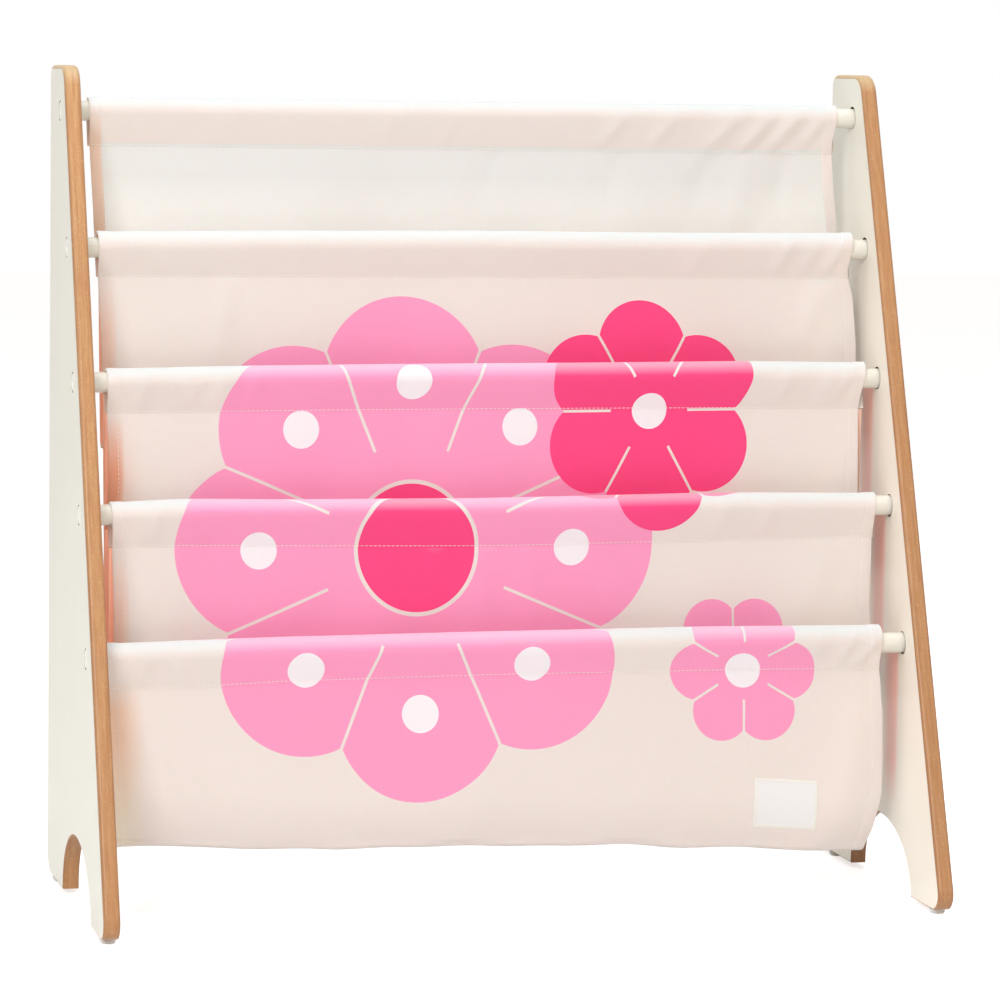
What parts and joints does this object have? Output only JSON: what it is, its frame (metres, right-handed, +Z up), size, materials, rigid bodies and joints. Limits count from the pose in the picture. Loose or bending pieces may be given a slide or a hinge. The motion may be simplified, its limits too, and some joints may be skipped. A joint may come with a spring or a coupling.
{
  "type": "sling bookshelf",
  "caption": "Free-standing sling bookshelf: leaning board sides joined by bolted rods that carry a canvas sling with deep pockets for picture books.",
  "frame": {"origin": "on the floor, under the middle of the rack's box", "axes": "+X along the rods to the right as seen from the front, +Y to the back, +Z up"},
  "size_m": [0.624, 0.2839, 0.61],
  "materials": {
    "painted_board": "satin off-white paint on the faces, clear lacquered brown edges",
    "painted_rod": "satin white paint",
    "bolt_enamel": "gloss white enamel",
    "insert_brass": "turned brass",
    "glide_plastic": "satin pale grey plastic",
    "nail_steel": "bright drawn steel",
    "canvas": "matt cream canvas with a printed pattern on the front",
    "label_cloth": "fine white woven tape"
  },
  "bodies": {
    "root": {"left_side_panel": "painted_board", "right_side_panel": "painted_board", "rod_1": "painted_rod", "rod_2": "painted_rod", "rod_3": "painted_rod", "rod_4": "painted_rod", "rod_5": "painted_rod", "bolt_left_1": "bolt_enamel", "bolt_left_2": "bolt_enamel", "bolt_left_3": "bolt_enamel", "bolt_left_4": "bolt_enamel", "bolt_left_5": "bolt_enamel", "bolt_right_1": "bolt_enamel", "bolt_right_2": "bolt_enamel", "bolt_right_3": "bolt_enamel", "bolt_right_4": "bolt_enamel", "bolt_right_5": "bolt_enamel", "insert_left_1": "insert_brass", "insert_left_2": "insert_brass", "insert_left_3": "insert_brass", "insert_left_4": "insert_brass", "insert_left_5": "insert_brass", "insert_right_1": "insert_brass", "insert_right_2": "insert_brass", "insert_right_3": "insert_brass", "insert_right_4": "insert_brass", "insert_right_5": "insert_brass", "foot_glide_front_left": "glide_plastic", "foot_glide_back_left": "glide_plastic", "foot_glide_front_right": "glide_plastic", "foot_glide_back_right": "glide_plastic", "glide_nail_front_left": "nail_steel", "glide_nail_back_left": "nail_steel", "glide_nail_front_right": "nail_steel", "glide_nail_back_right": "nail_steel", "sleeve_1": "canvas", "sleeve_2": "canvas", "sleeve_3": "canvas", "sleeve_4": "canvas", "sleeve_5": "canvas", "pocket_1": "canvas", "pocket_2": "canvas", "pocket_3": "canvas", "pocket_4": "canvas", "label": "label_cloth"}
  },
  "joints": []
}
